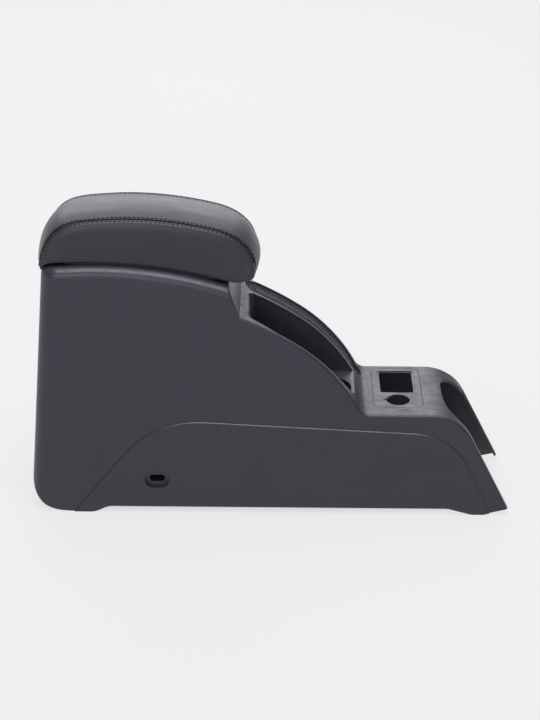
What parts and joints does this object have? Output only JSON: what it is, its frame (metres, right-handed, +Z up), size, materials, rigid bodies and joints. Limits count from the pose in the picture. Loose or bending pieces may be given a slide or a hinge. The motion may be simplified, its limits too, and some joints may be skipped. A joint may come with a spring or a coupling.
{
  "type": "car centre armrest console",
  "caption": "Floor console for a car with a padded hinged armrest lid over a storage bin, a sloped pocket with cup well, hand-brake gaiter slot, switch plate and arched front.",
  "frame": {"origin": "middle of the bounding box at floor level", "axes": "+X to the front of the car, +Y to its left, +Z up"},
  "size_m": [0.5808, 0.154, 0.3795],
  "materials": {
    "shell_plastic": "fine-grained moulded charcoal plastic",
    "bin_plastic": "plain black moulded plastic",
    "tub_plastic": "plain dark moulded plastic",
    "plate_plastic": "fine-grained moulded charcoal plastic",
    "gaiter_rubber": "soft matt rubber",
    "frame_plastic": "plain black moulded plastic",
    "hinge_metal": "black painted steel strip",
    "pin_steel": "plain drawn steel",
    "screw_steel": "blackened steel",
    "pan_plastic": "plain black moulded plastic",
    "lid_foam": "open-cell foam",
    "lid_leather": "smooth charcoal leather with a fine grain",
    "liner_fabric": "thin black felt lining",
    "bumper_rubber": "soft black rubber"
  },
  "bodies": {
    "console": {"console_shell": "shell_plastic", "storage_bin": "bin_plastic", "bin_screws": "screw_steel", "pocket_tub": "tub_plastic", "switch_plate": "plate_plastic", "handbrake_gaiter": "gaiter_rubber", "gaiter_frame": "frame_plastic", "hinge_body_leaf": "hinge_metal", "hinge_pin": "pin_steel", "hinge_body_screws": "screw_steel"},
    "lid": {"lid_pan": "pan_plastic", "lid_foam": "lid_foam", "lid_cover": "lid_leather", "lid_liner": "liner_fabric", "lid_liner_screws": "screw_steel", "lid_bumpers": "bumper_rubber", "hinge_lid_leaf": "hinge_metal", "hinge_lid_screws": "screw_steel"}
  },
  "joints": [
    {"name": "lid_hinge", "type": "hinge", "parent": "console", "child": "lid", "pos_m": [-0.27437, 0, 0.30371], "axis": [0, -1, 0], "range_deg": [0, 100]}
  ]
}
